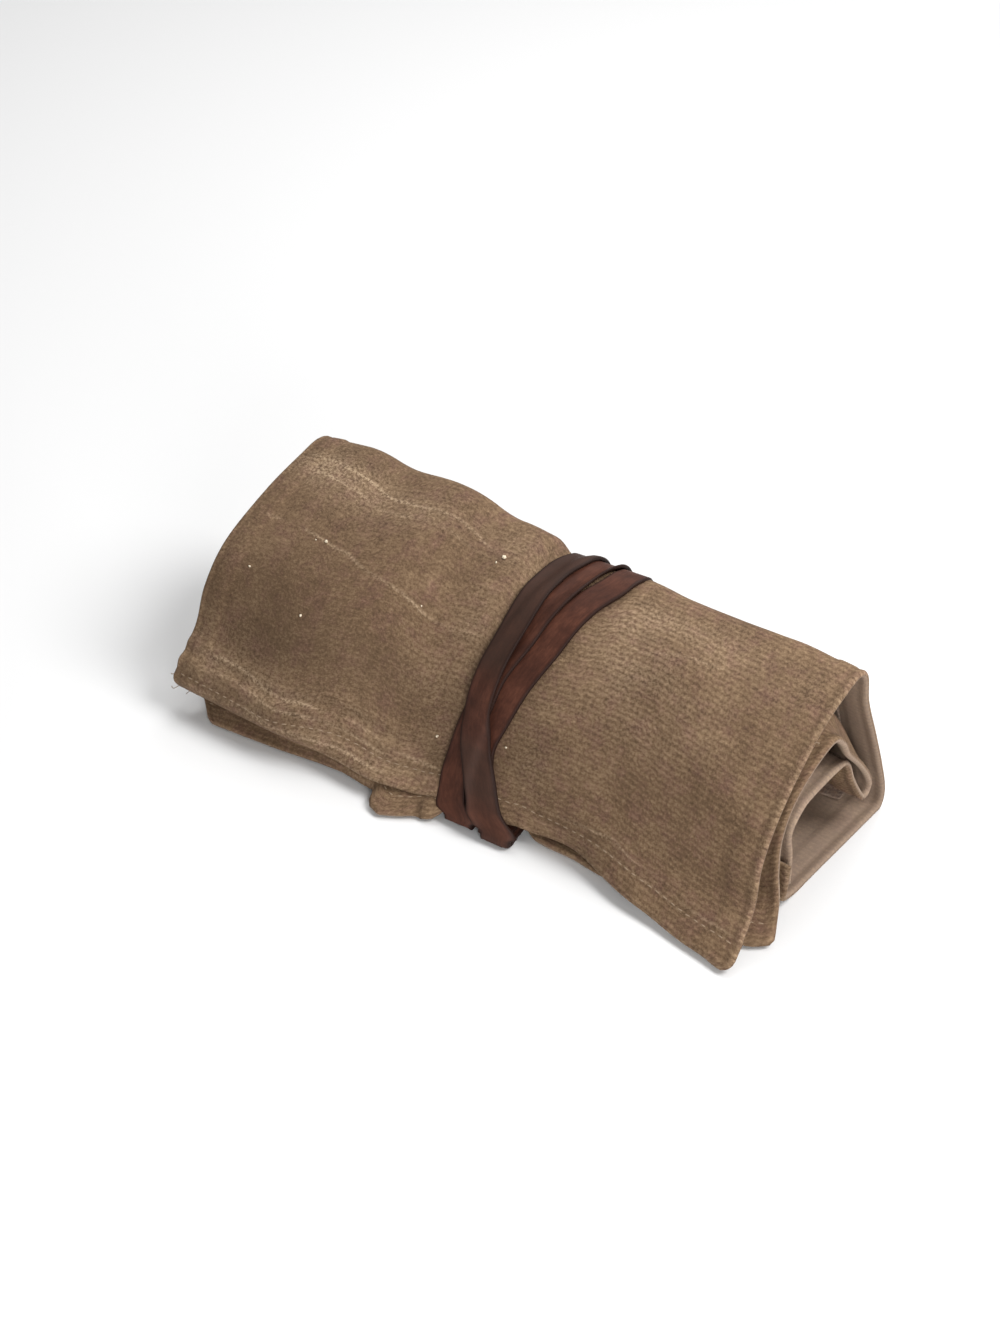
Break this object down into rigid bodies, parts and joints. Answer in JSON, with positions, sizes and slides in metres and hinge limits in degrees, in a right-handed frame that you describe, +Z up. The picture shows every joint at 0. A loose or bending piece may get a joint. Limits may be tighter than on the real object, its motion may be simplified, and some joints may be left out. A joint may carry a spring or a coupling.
{
  "type": "watch roll",
  "caption": "Rolled waxed-canvas watch roll, tied with a flat leather strap wound round its middle.",
  "frame": {"origin": "middle of the box round the tied roll, on the table", "axes": "+X along the roll towards its open end, +Y from the front hem to the back, +Z up"},
  "size_m": [0.2284, 0.107, 0.075],
  "materials": {
    "waxed_canvas": "matte",
    "pocket_cloth": "matte",
    "strap_leather": "satin"
  },
  "bodies": {
    "root": {"outer_shell": "waxed_canvas", "cover_flap": "waxed_canvas", "pocket_panel": "pocket_cloth", "tie_strap": "strap_leather"}
  },
  "joints": []
}
